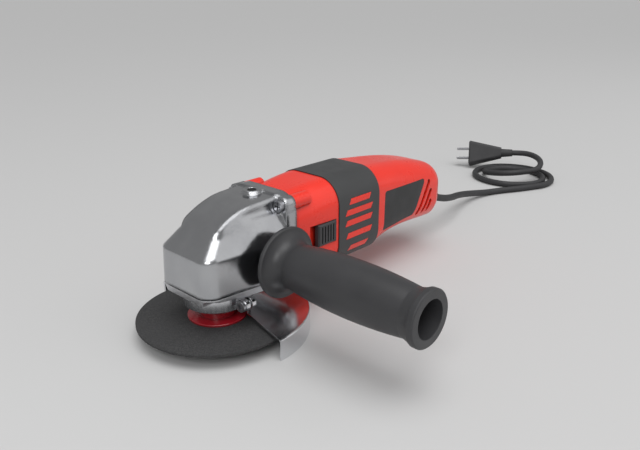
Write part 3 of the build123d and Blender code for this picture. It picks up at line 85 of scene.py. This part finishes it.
# Mains lead: the route's points in metres, from the boot to the plug, with the coil's turns by formula
CORD_RADIUS = 3.5 * MM
FLOOR_Z = -1.0 * MM
CORD_Z = FLOOR_Z + CORD_RADIUS
BOOT_TIP = (0.27371, 0.0, 0.033)
LEAD_POINTS = [
    (0.28687, 0.0, 0.02821),
    (0.3110, 0.0040, 0.0225),
    (0.3360, 0.0120, 0.0175),
    (0.3620, 0.0180, 0.0115),
    (0.3880, 0.0200, 0.0060),
    (0.4090, 0.0170, 0.0027),
    (0.4285, 0.0090, 0.0025),
    (0.4466, -0.0018, 0.0025),
]
COIL_MIDDLE = Vector((0.493, 0.029, CORD_Z))
COIL_RADII = (0.0475, 0.0425, 0.0375, 0.028)
COIL_ANGLE = math.radians(245)
COIL_CLIMB = 10.0 * MM
COIL_STEPS = 8
END_POINTS = [
    (0.5033, 0.0038, 0.0125),
    (0.5176, 0.0036, 0.0155),
    (0.5308, 0.0106, 0.0190),
    (0.5389, 0.0236, 0.0215),
    (0.5394, 0.0389, 0.0224),
]
PLUG_NECK = (0.53351, 0.05154, 0.02118)


def coil_points():
    """Half circles that shrink inwards, the last one climbing over the others."""
    out = Vector((math.cos(COIL_ANGLE), math.sin(COIL_ANGLE), 0))
    along = Vector((-out.y, out.x, 0))
    start = COIL_MIDDLE + out * COIL_RADII[0]
    points = [start - along * (2 * CORD_RADIUS)]
    spread = 1 / math.cos(math.pi / COIL_STEPS / 2)
    for index, radius in enumerate(COIL_RADII):
        side = 1 if index % 2 == 0 else -1
        centre = start - out * (side * radius)
        climb = COIL_CLIMB if index == len(COIL_RADII) - 1 else 0.0
        for step in range(COIL_STEPS):
            turn = math.pi * (step + 0.5) / COIL_STEPS
            spoke = out * (side * math.cos(turn)) + along * (side * math.sin(turn))
            rise = Vector((0, 0, climb * (1 - math.cos(turn)) / 2))
            points.append(centre + spoke * (radius * spread) + rise)
        start = centre - out * (side * radius) + Vector((0, 0, climb))
    points.append(start + along * (2 * CORD_RADIUS))
    return points


def make_cord():
    curve = bpy.data.curves.new("power_cord", "CURVE")
    curve.dimensions = "3D"
    spline = curve.splines.new("NURBS")
    route = [BOOT_TIP, *LEAD_POINTS, *coil_points(), *END_POINTS, PLUG_NECK]
    spline.points.add(len(route) - 1)
    for point, place in zip(spline.points, route):
        point.co = (*place, 1.0)
        point.radius = CORD_RADIUS
    spline.order_u = 3
    spline.use_endpoint_u = True
    spline.resolution_u = 10
    curve.bevel_depth = 1.0
    curve.bevel_resolution = 5
    curve.use_fill_caps = True
    cord = bpy.data.objects.new("power_cord", curve)
    bpy.context.collection.objects.link(cord)
    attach(cord, "housing")
    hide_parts("power_cord_lead", "power_cord_coil", "power_cord_end")
    return cord


power_cord = make_cord()


def add_piece(name, shape):
    """An object at the origin from a finished bmesh."""
    mesh = bpy.data.meshes.new(name)
    bmesh.ops.recalc_face_normals(shape, faces=shape.faces)
    shape.to_mesh(mesh)
    shape.free()
    piece = bpy.data.objects.new(name, mesh)
    bpy.context.collection.objects.link(piece)
    return piece


# Lock spring: wound wire that the lock button presses together
SPRING_WIRE_RADIUS = 0.3 * MM
SPRING_TURNS = 5
SPRING_STEPS = 24
SPRING_SIDES = 8


def make_lock_spring():
    low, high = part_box("lock_spring")
    foot = Vector(((low.x + high.x) / 2, (low.y + high.y) / 2, low.z))
    radius = (high.x - low.x) / 2 - SPRING_WIRE_RADIUS
    rise = high.z - low.z - 2 * SPRING_WIRE_RADIUS
    count = SPRING_TURNS * SPRING_STEPS
    shape = bmesh.new()
    rings = []
    for step in range(count + 1):
        turn = 2 * math.pi * step / SPRING_STEPS
        spoke = Vector((math.cos(turn), math.sin(turn), 0))
        middle = foot + spoke * radius + Vector((0, 0, SPRING_WIRE_RADIUS + rise * step / count))
        ring = []
        for side in range(SPRING_SIDES):
            angle = 2 * math.pi * side / SPRING_SIDES
            offset = spoke * math.cos(angle) + Vector((0, 0, math.sin(angle)))
            ring.append(shape.verts.new(middle + offset * SPRING_WIRE_RADIUS))
        rings.append(ring)
    for first, second in zip(rings, rings[1:]):
        for side in range(SPRING_SIDES):
            after = (side + 1) % SPRING_SIDES
            shape.faces.new((first[side], second[side], second[after], first[after]))
    shape.faces.new(rings[0])
    shape.faces.new(rings[-1])
    for face in shape.faces:
        face.smooth = len(face.verts) == 4
    spring = add_piece("lock_spring_wire", shape)
    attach(spring, "housing")
    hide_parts("lock_spring")
    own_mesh(spring)
    return spring


lock_spring = make_lock_spring()

# Lock button cap: the crowned top of the button, level with its boss
# Its profile is a row of radii and heights in millimetres
CAP_PROFILE = [(3.2, -0.3), (3.2, 0.6), (3.05, 0.8), (2.6, 0.92), (1.5, 0.98)]
CAP_TOP = 1.0 * MM
CAP_SIDES = 48


def make_button_cap():
    low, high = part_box("spindle_lock_button")
    seat = Vector(((low.x + high.x) / 2, (low.y + high.y) / 2, high.z))
    shape = bmesh.new()
    rings = []
    for radius, height in CAP_PROFILE:
        ring = []
        for side in range(CAP_SIDES):
            angle = 2 * math.pi * side / CAP_SIDES
            spoke = Vector((radius * math.cos(angle), radius * math.sin(angle), height))
            ring.append(shape.verts.new(seat + spoke * MM))
        rings.append(ring)
    tip = shape.verts.new(seat + Vector((0, 0, CAP_TOP)))
    for side in range(CAP_SIDES):
        after = (side + 1) % CAP_SIDES
        for lower, upper in zip(rings, rings[1:]):
            shape.faces.new((lower[side], lower[after], upper[after], upper[side])).smooth = True
        shape.faces.new((rings[-1][side], rings[-1][after], tip)).smooth = True
    shape.faces.new(rings[0])
    cap = add_piece("spindle_lock_cap", shape)
    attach(cap, "spindle_lock")
    return cap


lock_cap = make_button_cap()


# Materials
def srgb(code):
    """An sRGB hex colour as a linear colour."""
    parts = [int(code[i:i + 2], 16) / 255 for i in (0, 2, 4)]
    return [(c / 12.92 if c <= 0.04045 else ((c + 0.055) / 1.055) ** 2.4) for c in parts] + [1.0]


def add_node(tree, kind, inputs=(), **settings):
    """A node with its settings; an input is a value, or a socket to link from."""
    node = tree.nodes.new(kind)
    for name, value in settings.items():
        setattr(node, name, value)
    for key, value in dict(inputs).items():
        if isinstance(value, bpy.types.NodeSocket):
            tree.links.new(value, node.inputs[key])
        else:
            node.inputs[key].default_value = value
    return node


def start_material(name):
    material = bpy.data.materials.new(name)
    material.use_nodes = True
    tree = material.node_tree
    shader = tree.nodes["Principled BSDF"]
    place = add_node(tree, "ShaderNodeTexCoord").outputs["Object"]
    return material, tree, shader, place


def noise(tree, place, size_mm, detail, roughness=0.5):
    """A noise whose features are about this many millimetres."""
    inputs = {"Vector": place, "Scale": 1 / (size_mm * MM), "Detail": detail, "Roughness": roughness}
    return add_node(tree, "ShaderNodeTexNoise", inputs).outputs["Fac"]


def two_tones(tree, factor, low, shade, high, colour):
    """A ramp from the shade, up to low, to the colour, from high on."""
    ramp = add_node(tree, "ShaderNodeValToRGB", {"Fac": factor})
    for element, position, code in zip(ramp.color_ramp.elements, (low, high), (shade, colour)):
        element.position = position
        element.color = srgb(code)
    return ramp.outputs["Color"]


def spread(tree, value, low, high, least, most):
    """A value from low to high, brought to the range from least to most."""
    inputs = {"Value": value, "From Min": low, "From Max": high, "To Min": least, "To Max": most}
    return add_node(tree, "ShaderNodeMapRange", inputs).outputs["Result"]


def rounded_bump(tree, height, strength, depth_mm, edge_mm, samples):
    """A bump of this depth over edges that look rounded to this radius."""
    edge = add_node(tree, "ShaderNodeBevel", {"Radius": edge_mm * MM}, samples=samples)
    inputs = {
        "Height": height,
        "Strength": strength,
        "Distance": depth_mm * MM,
        "Normal": edge.outputs["Normal"],
    }
    return add_node(tree, "ShaderNodeBump", inputs).outputs["Normal"]


def moulded_plastic(name, colour, shade, rough, grain_mm, grain_depth, coat):
    """A moulded plastic: slow colour drift, painted shade darkening its slots and recesses, a fine die
    texture and uneven gloss.
    """
    material, tree, shader, place = start_material(name)
    colours = two_tones(tree, noise(tree, place, 45, 3.0), 0.3, shade, 0.7, colour)
    # Painted shade: the colour is darkened by ambient occlusion within 4 mm, in slots, recesses and
    # between close parts
    painted_shade_inputs = {"Color": colours, "Distance": 4 * MM}
    painted_slot_shade = add_node(tree, "ShaderNodeAmbientOcclusion", painted_shade_inputs, samples=8)
    tree.links.new(painted_slot_shade.outputs["Color"], shader.inputs["Base Color"])
    gloss = spread(tree, noise(tree, place, 14, 4.0), 0.3, 0.7, rough - 0.05, rough + 0.07)
    tree.links.new(gloss, shader.inputs["Roughness"])
    bump = rounded_bump(tree, noise(tree, place, grain_mm, 2.0), grain_depth, 0.2, 0.6, 6)
    tree.links.new(bump, shader.inputs["Normal"])
    shader.inputs["IOR"].default_value = 1.5
    shader.inputs["Coat Weight"].default_value = coat
    shader.inputs["Coat Roughness"].default_value = 0.08
    return material


def worked_metal(name, colour, shade, rough, scratch_mm, scratch_depth, stretch, edge_mm=0.3):
    """A worked metal: fine directional marks in gloss and bump, and a slow change of tone."""
    material, tree, shader, place = start_material(name)
    colours = two_tones(tree, noise(tree, place, 30, 4.0), 0.3, shade, 0.72, colour)
    tree.links.new(colours, shader.inputs["Base Color"])
    drawn = add_node(tree, "ShaderNodeMapping", {"Vector": place, "Scale": stretch})
    marks = noise(tree, drawn.outputs["Vector"], scratch_mm, 5.0, 0.6)
    gloss = spread(tree, marks, 0.3, 0.75, rough * 0.75, rough * 1.45)
    tree.links.new(gloss, shader.inputs["Roughness"])
    bump = rounded_bump(tree, marks, scratch_depth, 0.1, edge_mm, 8)
    tree.links.new(bump, shader.inputs["Normal"])
    shader.inputs["Metallic"].default_value = 1.0
    return material


def bonded_abrasive():
    """Resin-bonded abrasive: dark grey, matt, with light and dark grit."""
    material, tree, shader, place = start_material("bonded_abrasive")
    grit = add_node(tree, "ShaderNodeTexVoronoi", {"Vector": place, "Scale": 1 / (0.7 * MM)})
    speck = two_tones(tree, grit.outputs["Color"], 0.25, "2B2B2C", 0.85, "474747")
    cloud = noise(tree, place, 18, 4.0)
    mixed = {"Factor": cloud, 6: speck, 7: srgb("363637")}
    shade = add_node(tree, "ShaderNodeMix", mixed, data_type="RGBA")
    tree.links.new(shade.outputs[2], shader.inputs["Base Color"])
    pits = {"Height": grit.outputs["Distance"], "Strength": 0.35, "Distance": 0.3 * MM}
    bump = add_node(tree, "ShaderNodeBump", pits)
    tree.links.new(bump.outputs["Normal"], shader.inputs["Normal"])
    shader.inputs["Roughness"].default_value = 0.82
    return material


# Moulded ABS of the handle and trim: satin black with a fine die texture
black_abs = moulded_plastic("satin_black_abs", "3A3A3C", "323234", 0.42, 0.9, 0.18, 0.0)
# Moulded nylon of the lock button's top: matt and almost black. It is darker than the other black
# plastics as painted shade, standing in for the shade of the hole the button sits in
button_nylon_and_hole_shade = moulded_plastic("matt_black_nylon_hole_shade", "121213", "0E0E0F", 0.7, 0.8, 0.2, 0.0)
# Moulded ABS of the vent band: dark grey, a little duller than the trim
band_abs = moulded_plastic("dark_grey_abs", "3E3F40", "38393A", 0.46, 0.8, 0.2, 0.0)
# Moulded ABS of the side panels: dull charcoal grey
panel_abs = moulded_plastic("panel_grey_abs", "2F3031", "2A2B2C", 0.5, 0.8, 0.2, 0.0)
# Moulded ABS of the housing: bright orange red with a light polish
red_abs = moulded_plastic("gloss_red_abs", "F43321", "EC2E1D", 0.3, 1.1, 0.06, 0.15)
# Rubber of the lead, boot and plug: dull black, slightly grained
rubber = moulded_plastic("lead_rubber", "343436", "2C2C2E", 0.55, 0.8, 0.2, 0.0)
# Baked enamel on the steel flange: deep red and smooth
red_paint = moulded_plastic("red_enamel", "B21D2B", "A51825", 0.3, 1.5, 0.05, 0.4)
# Polyester film of the capacitor: mustard yellow with a slight shine
film = moulded_plastic("capacitor_film", "C8A032", "BC962C", 0.35, 1.5, 0.05, 0.2)
# Pressed carbon of the brushes: matt, almost black
carbon = moulded_plastic("pressed_carbon", "2A2A2A", "232323", 0.6, 0.6, 0.3, 0.0)
# Die-cast aluminium of the gear case: polished bright, with soft rounded edges
aluminium = worked_metal("polished_aluminium", "BDBEC0", "ACADB0", 0.17, 2.0, 0.03, (1, 1, 1), 4.5)
# Die-cast aluminium of the bearing cover: pale and satin, as it leaves the die
satin_aluminium = worked_metal("satin_aluminium", "E2E2E4", "D6D6D9", 0.42, 1.6, 0.06, (1, 1, 1), 0.8)
# Pressed sheet steel of the guard: polished, with faint drawing marks
sheet_steel = worked_metal("polished_sheet_steel", "E4E5E7", "D8D9DC", 0.18, 1.2, 0.04, (1, 1, 0.15))
# Turned steel of spindle, nut, screws and plug blades: mid grey with fine turning rings
turned_steel = worked_metal("turned_steel", "B4B5B8", "9FA0A4", 0.3, 0.8, 0.1, (1, 1, 6))
# Ground bearing steel: bright and even
ground_steel = worked_metal("ground_steel", "BFC0C4", "AEB0B4", 0.22, 0.6, 0.05, (1, 1, 4))
# Cut gear steel: darker, with an oiled half gloss
gear_steel = worked_metal("cut_gear_steel", "8E8F93", "7C7D82", 0.36, 0.7, 0.12, (1, 1, 1))
# Stacked laminations of the motor: dull grey with fine rings along the axis
lamination = worked_metal("stacked_laminations", "77787C", "66676B", 0.42, 0.7, 0.3, (9, 1, 1))
# Varnished copper wire: reddish brown with a wound grain
copper = worked_metal("varnished_copper", "B8683A", "A55A30", 0.34, 0.7, 0.25, (6, 1, 1))
# Folded brass of the brush holders: warm yellow with light handling marks
brass = worked_metal("folded_brass", "C5A252", "B59245", 0.3, 0.9, 0.08, (1, 1, 1))
# Resin-bonded grinding disc: matt dark grey with fine grit
abrasive = bonded_abrasive()

FINISHES = {
    "abrasive": abrasive,
    "red_enamel": red_paint,
    "steel": turned_steel,
    "bearing_steel": ground_steel,
    "gear_steel": gear_steel,
    "polished_aluminium": aluminium,
    "polished_steel": sheet_steel,
    "black_plastic": black_abs,
    "red_plastic": red_abs,
    "lamination": lamination,
    "copper": copper,
    "brass": brass,
    "carbon": carbon,
    "black_rubber": rubber,
    "film": film,
}
# Pieces whose look differs from the rest of their material
OWN_FINISHES = {
    "vent_band": band_abs,
    "side_panel_left": panel_abs,
    "side_panel_right": panel_abs,
    "bearing_cover": satin_aluminium,
}


def finish_cad_nodes():
    for part in frame["record"]["subparts"]:
        mesh = nodes[part["node"]].data
        material = OWN_FINISHES.get(part["node"], FINISHES[part["material_slot"]])
        mesh.materials.clear()
        mesh.materials.append(material)


finish_cad_nodes()
power_cord.data.materials.append(rubber)
lock_spring.data.materials.append(turned_steel)
lock_cap.data.materials.append(button_nylon_and_hole_shade)


# Stage: a pale floor, a soft key light from the upper left, a fill from the right and a wide sky
FLOOR_SIZE = 60.0


def make_stage():
    shape = bmesh.new()
    bmesh.ops.create_grid(shape, x_segments=1, y_segments=1, size=FLOOR_SIZE)
    bmesh.ops.translate(shape, vec=(0, 0, FLOOR_Z), verts=shape.verts)
    floor = add_piece("floor", shape)
    material, _, shader, _ = start_material("pale_floor")
    shader.inputs["Base Color"].default_value = srgb("C9C9C9")
    shader.inputs["Roughness"].default_value = 0.9
    floor.data.materials.append(material)


def add_light(name, kind, place, aim, power, **settings):
    light = bpy.data.objects.new(name, bpy.data.lights.new(name, kind))
    bpy.context.collection.objects.link(light)
    light.data.energy = power
    for key, value in settings.items():
        setattr(light.data, key, value)
    light.location = place
    light.rotation_euler = (Vector(aim) - Vector(place)).to_track_quat("-Z", "Y").to_euler()


make_stage()
add_light("key", "AREA", (-0.95, -0.7, 0.95), (0.1, 0, 0.05), 7, size=0.6)
add_light("fill", "AREA", (1.0, -1.2, 1.0), (0.1, 0, 0.05), 6, size=1.8)
add_light("sky", "SUN", (0.1, -0.3, 1.7), (0.15, 0, 0.05), 1.5, angle=math.radians(50))
world = bpy.data.worlds.new("studio")
bpy.context.scene.world = world
world.use_nodes = True
world.node_tree.nodes["Background"].inputs["Color"].default_value = srgb("B4B4B4")
world.node_tree.nodes["Background"].inputs["Strength"].default_value = 0.72
bpy.context.scene.view_settings.view_transform = "Standard"
